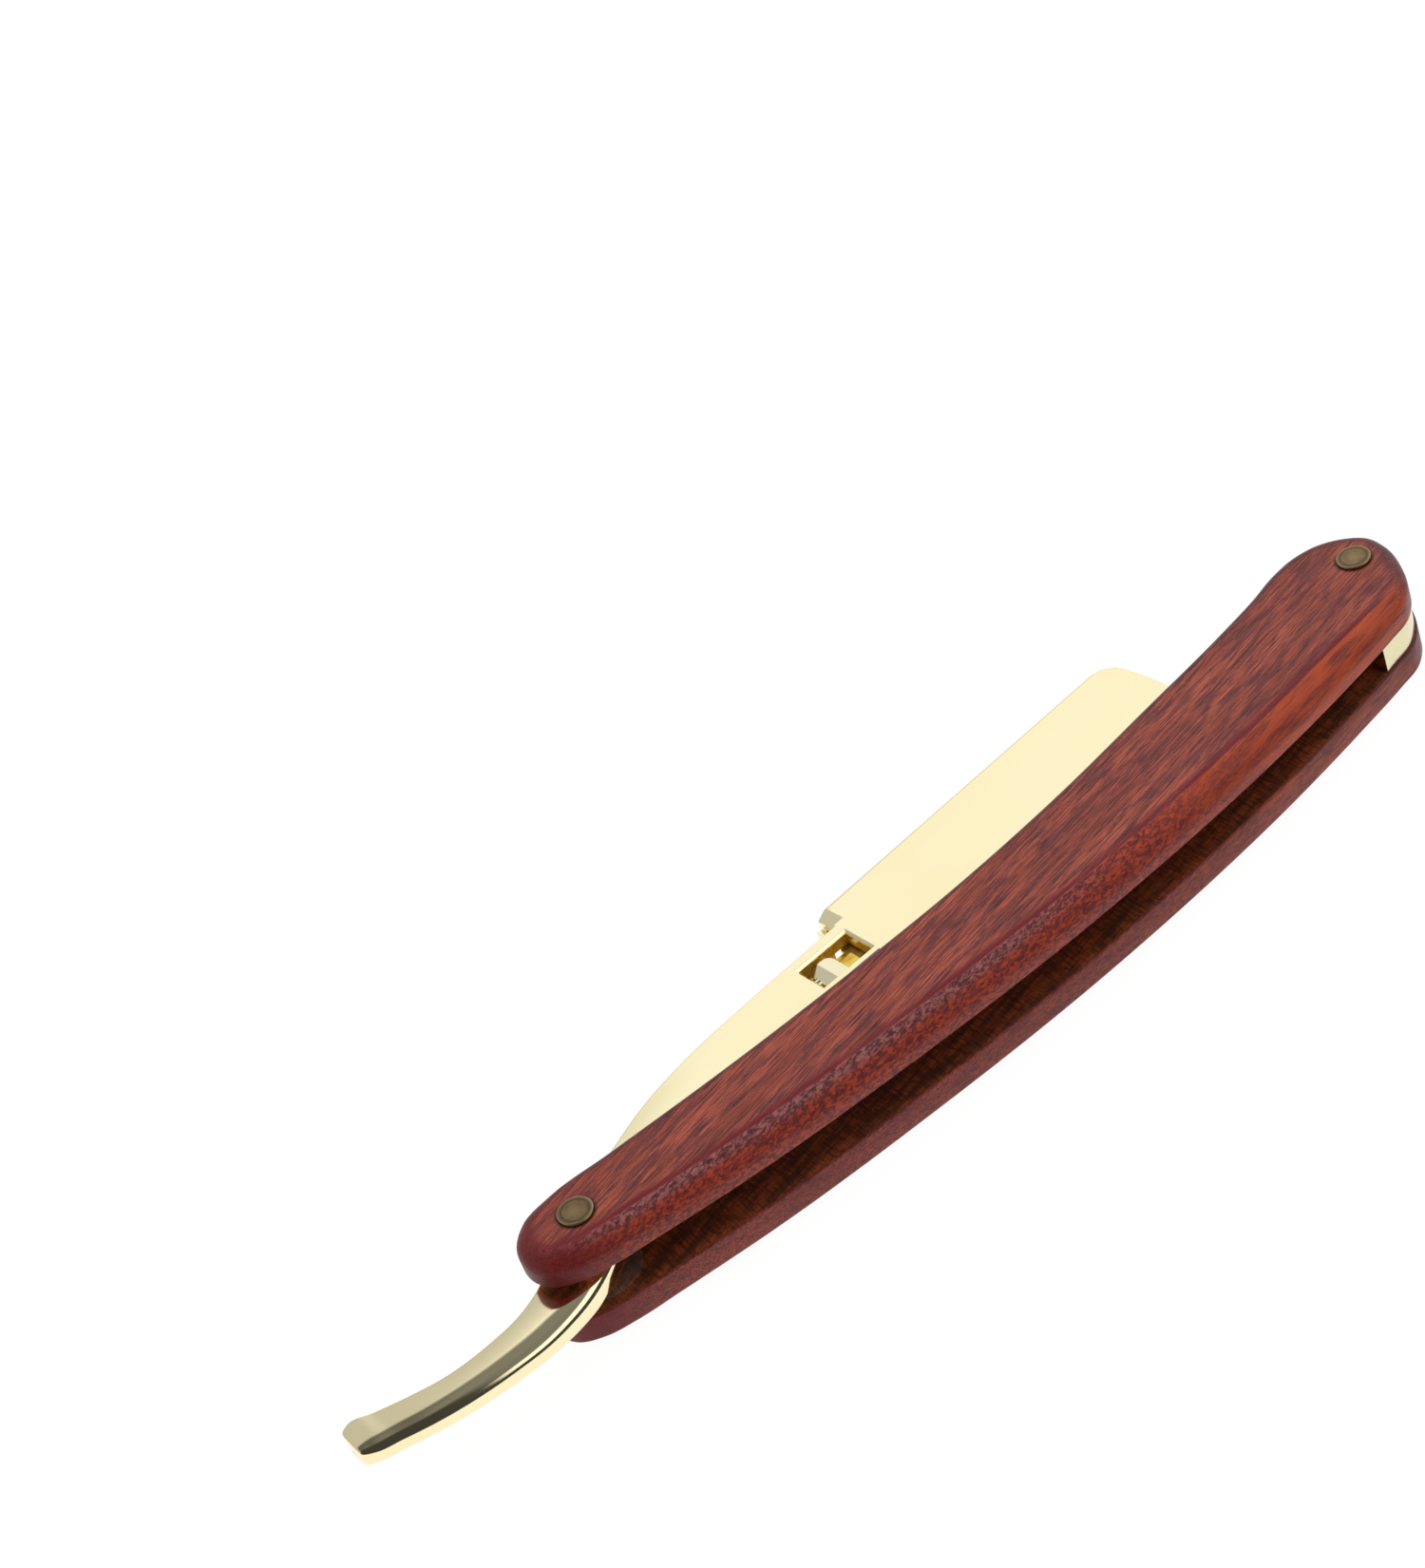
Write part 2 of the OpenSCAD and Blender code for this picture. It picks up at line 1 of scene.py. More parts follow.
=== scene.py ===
"""Looks of the folding razor: wooden scales, gilt arm and latch, rivets, washers and blade.

Everything is built in millimetres in the row's frame and turned into metres as it becomes a piece.
"""

import math

import bmesh
import bpy
import numpy as np
from mathutils import Matrix, Vector

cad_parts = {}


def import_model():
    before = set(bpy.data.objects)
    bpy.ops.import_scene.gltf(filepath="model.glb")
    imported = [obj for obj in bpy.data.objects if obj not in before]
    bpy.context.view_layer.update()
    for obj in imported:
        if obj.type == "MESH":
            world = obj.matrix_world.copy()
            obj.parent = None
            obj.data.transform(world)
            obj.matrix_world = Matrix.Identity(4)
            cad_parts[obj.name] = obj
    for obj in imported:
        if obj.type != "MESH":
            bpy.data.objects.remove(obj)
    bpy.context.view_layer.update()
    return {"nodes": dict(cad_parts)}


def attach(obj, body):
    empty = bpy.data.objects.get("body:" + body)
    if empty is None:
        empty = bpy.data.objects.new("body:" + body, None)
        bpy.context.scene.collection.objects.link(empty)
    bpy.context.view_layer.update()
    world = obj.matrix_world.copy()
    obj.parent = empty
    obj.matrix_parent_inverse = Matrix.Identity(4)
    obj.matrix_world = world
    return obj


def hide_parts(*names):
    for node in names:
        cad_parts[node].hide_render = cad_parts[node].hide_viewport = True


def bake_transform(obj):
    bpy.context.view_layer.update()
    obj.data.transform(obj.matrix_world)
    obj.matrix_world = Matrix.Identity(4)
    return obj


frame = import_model()
scene = bpy.context.scene
MM = 0.001
TURN = 2 * math.pi

# ---- Sizes of the razor, in mm ----------------------------------------------------------------

PIN_SPAN = 142
SCALE_T = 4.4
INNER_CHAMFER = 0.3
REAR_ROUND = 0.3
HEAD_D, HEAD_PROUD, HEAD_SUNK = 4.8, 0.4, 0.3
TUBE_R, PIN_R, PLAY = 1.6, 1.1, 0.05
REAR_IN = HEAD_PROUD + SCALE_T
GAP_PIVOT, GAP_BUTT = 6.1, 4.05
LEAN = (GAP_PIVOT - GAP_BUTT) / PIN_SPAN
TILT = math.atan(LEAN)
WASHER_R, WASHER_T = 5.4, 0.5
SPACER_INSET, SPACER_BACK = 0.3, 8.8
ARM_LO = 5.6
ARM_HI = REAR_IN + GAP_PIVOT - LEAN * WASHER_R - WASHER_T - 0.3 - LEAN * WASHER_R
PLATE_LO = 7.2
TAIL_REACH, TAIL_TIP_T, TAIL_SPREAD, TIP_LIFT = 38.7, 3.3, 0.85, 0.5
HEAD_FROM, HEAD_Y, HEAD_LEN, HEAD_H, HEAD_YAW = 55.7, 18.5, 57.8, 15.2, 2.2
SPINE_BAR, HEEL_BEVEL, HEEL_DROP, SPINE_BEVEL = 1.5, 1.7, 1.0, 0.35
HEAD_SHOULDER, SHOULDER_SLOPE, FACE_DROP, SPINE_SLOPE = 4.4, 0.32, 2, 18
TOE_BOW, TOE_R = 30, 4
LEAF_PIN = (53.0, -8.6)
WINDOW = (47.4, 7.8, 8.4, 5.1)
WINDOW_RIM = 0.4
STEM_Y, STEM_Z, STEM_R, BORE_END = 10.35, 7.35, 0.8, 37.6
TONGUE_X, WALL_Y = 46.0, 13.3
BLADE_U, BLADE_V, BLADE_LEN, BLADE_W = 7.1, -16.8, 43, 11
PEG_SHARES = (0.16, 0.5, 0.84)
WIRE_R, COIL_TURNS, COIL_ROOM = 0.13, 5, 4.2


def front_in(x):
    return REAR_IN + GAP_PIVOT - LEAN * x


def arm_hi(x):
    return ARM_HI - LEAN * max(x, 0)


def along(share):
    return share * PIN_SPAN


def from_butt(x):
    return PIN_SPAN + x


# Outline of both scales, clockwise from the pivot end: x, y and the radius of the outer edge
SCALE_KEYS = [
    (-8.9, -0.6, 2.4), (-7.9, 3.1, 2), (-5, 5.2, 1.5), (0, 5.7, 1.1), (9, 4.7, 0.9),
    (along(0.19), 3, 0.8), (along(0.34), 1.8, 0.8), (along(0.47), 1.4, 0.8), (along(0.6), 2.1, 0.8),
    (along(0.74), 4, 0.8), (from_butt(-21), 5.7, 0.9), (from_butt(-13), 6.9, 1),
    (from_butt(-8), 8, 1.1), (from_butt(-3.6), 8.2, 1.2), (from_butt(0.2), 7.2, 1.3),
    (from_butt(3), 5.2, 1.4),
    (from_butt(5), 2, 1.4), (from_butt(4.8), -1.6, 1.5), (from_butt(3), -5.6, 1.6),
    (from_butt(0), -9.4, 1.8), (from_butt(-2.6), -11.1, 2.2), (from_butt(-7), -12, 2.6),
    (from_butt(-15), -13.1, 3), (along(0.76), -14.9, 3.1), (along(0.62), -15.6, 3.1),
    (along(0.48), -15.3, 3.1), (along(0.31), -13.6, 3.1), (along(0.14), -10.8, 3),
    (5, -8.1, 2.9), (-1, -6.9, 2.8), (-5.4, -5.4, 2.7), (-8, -3.3, 2.5)]

# Stations of the arm: spine side x, y; edge side x, y; pull-in of the faces; radius on each side
ARM_KEYS = [
    (-38.4, 1.6, -38.7, -0.8, 0.5, 0.35, 0.35), (-38, 3, -38.4, -1.8, 0.1, 0.45, 0.7),
    (-36.8, 3.5, -37.2, -2.6, 0, 0.5, 1.1), (-33.6, 2.1, -33.9, -3.8, 0, 0.5, 1.3),
    (-29.5, 0.4, -29.6, -5.3, 0, 0.5, 1.4), (-24.5, -1.2, -24.4, -6.6, 0, 0.5, 1.5),
    (-18.5, -1.8, -18.3, -7.5, 0, 0.5, 1.6), (-12.6, -1.4, -12.3, -7.8, 0, 0.5, 1.7),
    (-8, 0.3, -6.6, -7.1, 0, 0.5, 1.7), (-4.4, 3, -2.4, -5.8, 0, 0.5, 1.6),
    (-0.4, 5, 1.6, -3.9, 0, 0.4, 1.4), (5, 7, 6.6, -1.4, 0, 0.35, 1.2),
    (12.5, 10, 13.2, 1.2, 0, 0.35, 1), (20, 12.4, 20.5, 3.4, 0, 0.35, 0.8),
    (28, 13.8, 28.2, 5, 0, 0.35, 0.7), (40, 14.6, 40, 5.9, 0, 0.35, 0.6),
    (54.3, 15, 54.3, 6.2, 0, 0.35, 0.5), (58.3, 15.1, 58.3, 6.2, 0, 0.35, 0.5)]


# ---- Curves and mesh helpers --------------------------------------------------------------------

MERGE = 0.0004

def smooth_curve(keys, per_span, closed):
    """Smooth curve through the keys, whose first two numbers are x and y."""
    k = np.array(keys, float)
    count = len(k)

    def gap(a, b):
        return np.hypot(*(b[:2] - a[:2]))

    def tangent(a, b, c):
        return (b - a) / gap(a, b) - (c - a) / (gap(a, b) + gap(b, c)) + (c - b) / gap(b, c)

    out = []
    for i in range(count if closed else count - 1):
        b, d = k[i], k[(i + 1) % count]
        g = gap(b, d)
        m = tangent(k[i - 1], b, d) if closed or i > 0 else (d - b) / g
        e = tangent(b, d, k[(i + 2) % count]) if closed or i < count - 2 else (d - b) / g
        last = not closed and i == count - 2
        for s in range(per_span + 1 if last else per_span):
            t = s / per_span
            out.append((2 * t**3 - 3 * t * t + 1) * b + (t**3 - 2 * t * t + t) * g * m
                       + (3 * t * t - 2 * t**3) * d + (t**3 - t * t) * g * e)
    return np.array(out)


def outward(p):
    """Outward directions of a closed clockwise curve."""
    d = np.roll(p[:, :2], -1, 0) - np.roll(p[:, :2], 1, 0)
    d /= np.linalg.norm(d, axis=1)[:, None]
    return np.stack([-d[:, 1], d[:, 0]], 1)


def mesh_object(name, points, faces):
    mesh = bpy.data.meshes.new(name)
    mesh.from_pydata([tuple(p) for p in points], [], faces)
    bm = bmesh.new()
    bm.from_mesh(mesh)
    bmesh.ops.recalc_face_normals(bm, faces=bm.faces)
    bm.to_mesh(mesh)
    bm.free()
    obj = bpy.data.objects.new(name, mesh)
    scene.collection.objects.link(obj)
    return obj


def skin(name, rings):
    """Surface over rings of equal count, its ends closed by strips of quads."""
    rings = [np.asarray(r, float) for r in rings]
    n = len(rings[0])
    faces = []
    for j in range(len(rings) - 1):
        for i in range(n):
            k = (i + 1) % n
            faces.append((j * n + i, j * n + k, (j + 1) * n + k, (j + 1) * n + i))
    for base in (0, (len(rings) - 1) * n):
        for i in range(n // 2):
            q = [base + v for v in (i, i + 1, (n - i - 1) % n, (n - i) % n)]
            faces.append(tuple(dict.fromkeys(q)))
    return mesh_object(name, np.concatenate(rings), faces)


def prism(name, outline, z0, z1):
    """Upright solid over an outline, from height z0 to z1."""
    o = np.asarray(outline, float)
    n = len(o)
    points = np.concatenate([np.c_[o, np.full(n, z0)], np.c_[o, np.full(n, z1)]])
    faces = [tuple(range(n)), tuple(range(2 * n - 1, n - 1, -1))]
    faces += [(i, i + n, (i + 1) % n + n, (i + 1) % n) for i in range(n)]
    return mesh_object(name, points, faces)


def lathe(name, profile, steps=96):
    """Solid of revolution about Z from a closed profile of (r, z)."""
    points, faces, ring = [], [], []
    for r, z in profile:
        if r < 1e-6:
            ring.append([len(points)] * steps)
            points.append((0, 0, z))
        else:
            ring.append(list(range(len(points), len(points) + steps)))
            points += [(r * math.cos(TURN * k / steps), r * math.sin(TURN * k / steps), z)
                       for k in range(steps)]
    m = len(profile)
    for j in range(m):
        a, b = ring[j], ring[(j + 1) % m]
        for k in range(steps):
            q = tuple(dict.fromkeys((a[k], a[(k + 1) % steps], b[(k + 1) % steps], b[k])))
            if len(q) > 2:
                faces.append(q)
    return mesh_object(name, points, faces)


def rounded(corners, steps=6):
    """Profile with rounded corners: each corner is (x, y, radius)."""
    out = []
    n = len(corners)
    for i, (x, y, r) in enumerate(corners):
        p = np.array((x, y), float)
        if r <= 0:
            out.append(tuple(p))
            continue
        a = np.array(corners[i - 1][:2], float) - p
        b = np.array(corners[(i + 1) % n][:2], float) - p
        a /= np.linalg.norm(a)
        b /= np.linalg.norm(b)
        half = math.acos(max(-1, min(1, a @ b))) / 2
        centre = p + (a + b) / np.linalg.norm(a + b) * r / math.sin(half)
        s, e = p + a * r / math.tan(half) - centre, p + b * r / math.tan(half) - centre
        t0, t1 = math.atan2(s[1], s[0]), math.atan2(e[1], e[0])
        turn = (t1 - t0 + math.pi) % (2 * math.pi) - math.pi
        for k in range(steps + 1):
            angle = t0 + turn * k / steps
            out.append(tuple(centre + r * np.array((math.cos(angle), math.sin(angle)))))
    return out


def cylinder(r, z0, z1, steps=64):
    return lathe("tool", [(0, z0), (r, z0), (r, z1), (0, z1)], steps)


def move(obj, matrix):
    obj.data.transform(matrix)
    return obj


def turned(axis, degrees):
    return Matrix.Rotation(math.radians(degrees), 4, axis)


def at_head(x=0, y=0, z=0):
    """Place in the head's own frame, whose origin is the spine end of its heel."""
    head = Matrix.Translation((HEAD_FROM, HEAD_Y, 0)) @ turned("Z", HEAD_YAW)
    return head @ Matrix.Translation((x, y, z))


def bake(obj):
    """Applies the modifiers."""
    bpy.context.view_layer.update()
    depsgraph = bpy.context.evaluated_depsgraph_get()
    mesh = bpy.data.meshes.new_from_object(obj.evaluated_get(depsgraph))
    old = obj.data
    obj.modifiers.clear()
    obj.data = mesh
    bpy.data.meshes.remove(old)
    return obj


def boolean(obj, tool, operation):
    m = obj.modifiers.new("cut", "BOOLEAN")
    m.operation, m.object, m.solver = operation, tool, "EXACT"
    bake(obj)
    bpy.data.objects.remove(tool)
    return obj


def cut(obj, *tools):
    for tool in tools:
        boolean(obj, tool, "DIFFERENCE")
    return obj


def join(obj, *others):
    for other in others:
        boolean(obj, other, "UNION")
    return obj


def smooth(obj, angle=35):
    for p in obj.data.polygons:
        p.use_smooth = True
    obj.data.set_sharp_from_angle(angle=math.radians(angle))
    return obj


def clean(obj):
    """Merges points closer than MERGE and drops what that leaves loose."""
    bm = bmesh.new()
    bm.from_mesh(obj.data)
    bmesh.ops.remove_doubles(bm, verts=bm.verts, dist=MERGE)
    bmesh.ops.dissolve_degenerate(bm, edges=bm.edges, dist=MERGE)
    loose = [v for v in bm.verts if not v.link_faces]
    bmesh.ops.delete(bm, geom=loose, context="VERTS")
    bm.to_mesh(obj.data)
    bm.free()
    return obj


def piece(obj, name, body, materials, replaced=()):
    """Turns a finished shape in mm into a piece of the object, on a body; given two bodies, it only
    bakes its placement.
    """
    obj.data.transform(Matrix.Scale(MM, 4))
    obj.name = obj.data.name = name
    faces = [p.material_index for p in obj.data.polygons]
    obj.data.materials.clear()
    for m in materials:
        obj.data.materials.append(m)
    obj.data.polygons.foreach_set("material_index", faces)
    if isinstance(body, tuple):
        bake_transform(obj)
    else:
        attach(obj, body)
    if replaced:
        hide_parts(*replaced)
    return obj


# ---- Materials ----------------------------------------------------------------------------------

class Graph:
    """Small helper that writes a node tree."""

    def __init__(self, tree):
        self.tree = tree

    def node(self, kind, **settings):
        n = self.tree.nodes.new("ShaderNode" + kind)
        for k, v in settings.items():
            setattr(n, k, v)
        return n

    def link(self, value, socket):
        if isinstance(value, bpy.types.NodeSocket):
            self.tree.links.new(value, socket)
        elif value is not None:
            if socket.type == "RGBA" and len(value) == 3:
                value = (*value, 1)
            socket.default_value = value

    def math(self, operation, a, b=None, c=None):
        n = self.node("Math", operation=operation)
        for v, s in zip((a, b, c), n.inputs):
            self.link(v, s)
        return n.outputs[0]

    def product(self, *values):
        out = values[0]
        for v in values[1:]:
            out = self.math("MULTIPLY", out, v)
        return out

    def noise(self, vector, scale=1, detail=2, roughness=0.5, distortion=0):
        n = self.node("TexNoise")
        self.link(vector, n.inputs["Vector"])
        n.inputs["Scale"].default_value = scale
        n.inputs["Detail"].default_value = detail
        n.inputs["Roughness"].default_value = roughness
        n.inputs["Distortion"].default_value = distortion
        return n.outputs["Fac"]

    def ramp(self, value, low, high, a=0, b=1):
        """Eases from a to b as the value goes from low to high, and stays there."""
        n = self.node("MapRange", clamp=True, interpolation_type="SMOOTHSTEP")
        self.link(value, n.inputs[0])
        for i, v in enumerate((low, high, a, b)):
            n.inputs[i + 1].default_value = v
        return n.outputs[0]

    def mix(self, share, a, b):
        n = self.node("Mix", data_type="RGBA")
        self.link(share, n.inputs[0])
        self.link(a, n.inputs[6])
        self.link(b, n.inputs[7])
        return n.outputs[2]

    def attribute(self, name):
        return self.node("Attribute", attribute_name=name).outputs["Fac"]

    def axis(self, vector, which):
        n = self.node("SeparateXYZ")
        self.link(vector, n.inputs[0])
        return n.outputs[which]


class Nodes(Graph):
    """A new material's node tree."""

    def __init__(self, name):
        self.material = bpy.data.materials.new(name)
        self.material.use_nodes = True
        super().__init__(self.material.node_tree)
        self.shader = self.tree.nodes["Principled BSDF"]
        self.coord = self.tree.nodes.new("ShaderNodeTexCoord").outputs["Object"]

    def mapped(self, scale, turn=(0, 0, 0), shift=(0, 0, 0)):
        """Object coordinates in mm, turned and then scaled by axis."""
        first = self.node("Mapping", vector_type="POINT")
        first.inputs["Rotation"].default_value = [math.radians(t) for t in turn]
        first.inputs["Scale"].default_value = (1000, 1000, 1000)
        self.link(self.coord, first.inputs["Vector"])
        second = self.node("Mapping", vector_type="POINT")
        second.inputs["Scale"].default_value = scale
        second.inputs["Location"].default_value = shift
        self.link(first.outputs[0], second.inputs["Vector"])
        return second.outputs[0]

    def rivet_distance(self):
        """Distance in mm from the nearer rivet's axis."""
        place = self.mapped((1, 1, 1))
        x, y = self.axis(place, 0), self.axis(place, 1)
        nearer_butt = self.math("GREATER_THAN", x, PIN_SPAN / 2)
        x = self.math("SUBTRACT", x, self.product(nearer_butt, PIN_SPAN))
        return self.math("SQRT", self.math("ADD", self.product(x, x), self.product(y, y)))

    def bump(self, height, strength, distance_mm, normal=None):
        n = self.node("Bump")
        self.link(height, n.inputs["Height"])
        n.inputs["Strength"].default_value = strength
        n.inputs["Distance"].default_value = distance_mm * MM
        if normal is not None:
            self.link(normal, n.inputs["Normal"])
        return n.outputs[0]

    def soft_edges(self, radius_mm):
        n = self.node("Bevel", samples=6)
        n.inputs["Radius"].default_value = radius_mm * MM
        return n.outputs[0]

    def set(self, **values):
        for k, v in values.items():
            self.link(v, self.shader.inputs[k.replace("_", " ")])
        return self.material


def tone(r, g, b):
    """Linear colour from the usual 0 to 255 numbers."""
    def linear(c):
        return c / 255 / 12.92 if c <= 10 else ((c / 255 + 0.055) / 1.055) ** 2.4

    return tuple(linear(c) for c in (r, g, b))


def wood(name, inner):
    """Reddish-brown hardwood.

    Its fibres run a little askew of the scales, so the rounded edge cuts across them.
    """
    m = Nodes(name)
    turn = (0, 0, -8)
    broad = m.noise(m.mapped((0.03, 0.3, 0.35), turn), 1, 3, 0.55)
    figure = m.noise(m.mapped((0.12, 0.9, 1.1), turn, (3, 1, 7)), 1, 4, 0.6)
    fibre = m.noise(m.mapped((0.15, 8.5, 7.5), turn), 1, 4, 0.6, 0.15)
    pores = m.noise(m.mapped((0.2, 9, 8), turn, (11, 5, 2)), 1, 3, 0.5)
    fleck = m.noise(m.mapped((1.1, 2.4, 2.6), turn, (5, 9, 1)), 1, 5, 0.72, 0.4)
    if inner:
        colour = m.mix(m.ramp(figure, 0.4, 0.62), tone(112, 64, 42), tone(172, 88, 46))
        saw = m.noise(m.mapped((2.6, 0.35, 1), (0, 0, 4)), 1, 3, 0.7)
        fibre = m.noise(m.mapped((0.35, 2.4, 3), turn), 1, 3, 0.6)
        colour = m.mix(m.ramp(saw, 0.42, 0.62, 0, 0.7), colour, tone(68, 38, 30))
        colour = m.mix(m.ramp(fibre, 0.5, 0.68, 0, 0.6), colour, tone(74, 40, 32))
        height = m.math("ADD", saw, fibre)
        return m.set(Base_Color=colour, Roughness=0.75, Specular_IOR_Level=0.12,
                     Normal=m.bump(height, 0.5, 0.12))
    across = m.attribute("across")
    convex = m.attribute("convex")
    rounding = m.ramp(across, 1.03, 0.9)
    x_mm = m.axis(m.mapped((1, 1, 1)), 0)
    colour = m.mix(m.ramp(broad, 0.38, 0.62), tone(170, 76, 54), tone(194, 93, 69))
    colour = m.mix(m.ramp(figure, 0.5, 0.6, 0, 0.62), colour, tone(106, 48, 52))
    blotch = m.noise(m.mapped((0.16, 0.5, 0.5), turn, (2, 8, 5)), 1, 5, 0.65)
    colour = m.mix(m.ramp(blotch, 0.54, 0.66, 0, 0.6), colour, tone(84, 40, 50))
    colour = m.mix(m.ramp(figure, 0.44, 0.3, 0, 0.4), colour, tone(190, 90, 58))
    colour = m.mix(m.ramp(fibre, 0.46, 0.57, 0, 0.8), colour, tone(92, 36, 38))
    colour = m.mix(m.ramp(pores, 0.54, 0.61, 0, 0.8), colour, tone(50, 22, 30))
    # Dark rim along the concave edge
    rim = m.product(m.ramp(across, 1.9, 0.7, 0, 0.75), m.ramp(convex, 0.5, 0))
    colour = m.mix(rim, colour, tone(74, 34, 42))
    # Deep crimson line beside the crease
    beside = m.product(m.ramp(across, 1.5, 1.08), m.ramp(across, 0.92, 1.05))
    patchy = m.ramp(m.noise(m.mapped((0.1, 0.3, 0.3)), 1, 3), 0.36, 0.58, 0.7, 1)
    colour = m.mix(m.product(beside, patchy, convex), colour, tone(112, 4, 22))
    # End grain on the rounded edge: fuzzy red and orange flecks. Along the crease, purple-grey end
    # grain with a painted grey sheen and pale painted glints
    mottle = m.mix(m.ramp(fleck, 0.42, 0.56), tone(196, 70, 38), tone(100, 30, 32))
    grain_and_sheen = m.mix(m.ramp(fleck, 0.46, 0.54), tone(158, 92, 88), tone(78, 32, 42))
    # Pale flecks: painted glints of the sheen along the crease
    grain_and_sheen = m.mix(m.ramp(fleck, 0.42, 0.34, 0, 0.45), grain_and_sheen, tone(196, 160, 164))
    # Band along the crease, toward the pivot end, where the painted sheen lies
    sheen_by_crease = m.product(m.ramp(across, 0.35, 0.65), m.ramp(x_mm, 88, 60))
    mottle = m.mix(sheen_by_crease, mottle, grain_and_sheen)
    cut_across = m.product(rounding, convex, m.ramp(x_mm, 120, 84, 0, 0.85))
    colour = m.mix(cut_across, colour, mottle)
    # Orange band toward the butt, darker red at the pivot end, painted shade on the rounded edge
    # and painted shadow rings round the rivet heads
    band = m.product(rounding, convex, m.ramp(x_mm, 84, 112, 0, 0.68))
    band = m.product(band, m.ramp(figure, 0.62, 0.4, 0.3, 1))
    colour = m.mix(band, colour, tone(214, 84, 30))
    ends = m.product(m.ramp(x_mm, 4, -6, 0, 0.8), m.ramp(across, 1.9, 0.7, 0.1, 1))
    colour = m.mix(ends, colour, tone(112, 22, 26))
    # Painted shade on the rounded edge, deepening towards the outline
    colour = m.mix(m.ramp(across, 1.0, 0.3, 0, 0.2), colour, tone(70, 20, 20))
    # Painted shadow: a dark ring in the wood round each rivet head
    colour = m.mix(m.ramp(m.rivet_distance(), 2.95, 2.5, 0, 0.75), colour, tone(40, 14, 12))
    height = m.math("MULTIPLY_ADD", fibre, -0.6, m.product(pores, -0.8))
    height = m.math("MULTIPLY_ADD", m.product(fleck, cut_across), 1.6, height)
    return m.set(Base_Color=colour, Roughness=m.ramp(fibre, 0.3, 0.7, 0.34, 0.5),
                 Specular_IOR_Level=0.3, Normal=m.bump(height, 0.6, 0.07))


def window_mask(m):
    """1 inside the window and in the room behind the plate, 0 elsewhere."""
    x_mm, y_mm, z_mm = (m.axis(m.mapped((1, 1, 1)), i) for i in range(3))
    wx, wy, wl, ww = WINDOW
    soft = 0.1

    def within(v, low, high):
        return m.product(m.ramp(v, low - soft, low), m.ramp(v, high + soft, high))

    window = m.product(within(x_mm, wx - soft, wx + wl + soft),
                       within(y_mm, wy - soft, wy + ww + soft),
                       m.ramp(z_mm, ARM_HI - 0.9, ARM_HI - 1.3))
    room = m.product(within(x_mm, TONGUE_X - 1, HEAD_FROM + 2), within(y_mm, 5, WALL_Y + 0.2),
                     m.ramp(z_mm, PLATE_LO + soft, PLATE_LO))
    above_rear = m.ramp(z_mm, ARM_LO + soft, ARM_LO + 0.3)
    return m.product(m.math("MAXIMUM", window, room), above_rear)


def gilt(name, colour, rough, pocket=False):
    """Polished gold plating. Where it lies inside the window it is deeper in tone and softer."""
    m = Nodes(name)
    haze = m.noise(m.mapped((0.05, 0.1, 0.1)), 1, 2, 0.5)
    wave = m.noise(m.mapped((0.1, 0.12, 0.12)), 1, 1)
    hazy = tone(colour[0] - 1, colour[1] - 2, colour[2] - 5)
    colour = m.mix(m.ramp(haze, 0.3, 0.7), tone(*colour), hazy)
    rough = m.ramp(haze, 0.3, 0.7, rough - 0.01, rough + 0.01)
    metallic = 1.0
    if pocket:
        inside = window_mask(m)
        patch = m.ramp(m.noise(m.mapped((0.8, 0.8, 0.8)), 1, 2), 0.35, 0.65)
        colour = m.mix(inside, colour, m.mix(patch, tone(220, 172, 44), tone(244, 210, 98)))
        rough = m.math("MULTIPLY_ADD", inside, 0.08, rough)
        metallic = m.ramp(inside, 0, 1, 1, 0.45)
    return m.set(Base_Color=colour, Metallic=metallic, Roughness=rough,
                 Normal=m.bump(wave, 0.03, 0.3, m.soft_edges(0.08)))


def antique(name):
    """Olive brass, brown where it was never rubbed, with a ring of painted shade on each rivet head
    and a painted highlight round its rim.
    """
    m = Nodes(name)
    patch = m.noise(m.mapped((0.9, 0.9, 0.9)), 1, 4, 0.6)
    scratch = m.noise(m.mapped((1.2, 12, 3), (0, 0, 30)), 1, 3, 0.6)
    colour = m.mix(m.ramp(patch, 0.35, 0.65), tone(122, 101, 74), tone(144, 122, 90))
    colour = m.mix(m.ramp(scratch, 0.55, 0.75, 0, 0.4), colour, tone(84, 68, 44))
    r = m.rivet_distance()
    colour = m.mix(m.ramp(r, 1.4, 0.2, 0, 0.5), colour, tone(166, 138, 100))
    # Painted shade: a dark ring across each rivet head
    ring = m.product(m.ramp(r, 1.55, 1.75), m.ramp(r, 2.1, 1.9))
    colour = m.mix(m.product(ring, 0.55), colour, tone(72, 58, 40))
    # Painted highlight: a bright line along the rim of each rivet head
    colour = m.mix(m.ramp(r, 2.15, 2.3, 0, 0.6), colour, tone(190, 170, 128))
    return m.set(Base_Color=colour, Metallic=1.0, Roughness=m.ramp(patch, 0.3, 0.7, 0.28, 0.42),
                 Normal=m.bump(scratch, 0.12, 0.02, m.soft_edges(0.05)))


def steel(name, rough, lines):
    """Bright steel with grinding lines, whose spacing by axis is the inverse of lines."""
    m = Nodes(name)
    grind = m.noise(m.mapped(lines), 1, 3, 0.6)
    spots = m.noise(m.mapped((0.6, 0.6, 0.6)), 1, 3)
    colour = m.mix(m.ramp(spots, 0.35, 0.65), tone(205, 207, 210), tone(222, 223, 226))
    return m.set(Base_Color=colour, Metallic=1.0,
                 Roughness=m.ramp(grind, 0.3, 0.7, rough - 0.05, rough + 0.07),
                 Normal=m.bump(grind, 0.08, 0.01))


def clear_plastic(name):
    m = Nodes(name)
    haze = m.noise(m.mapped((1, 1, 1)), 1, 3)
    colour = m.mix(m.ramp(haze, 0.35, 0.65), tone(236, 232, 226), tone(226, 221, 212))
    return m.set(Base_Color=colour, Roughness=m.ramp(haze, 0.3, 0.7, 0.12, 0.2), Alpha=0.09)


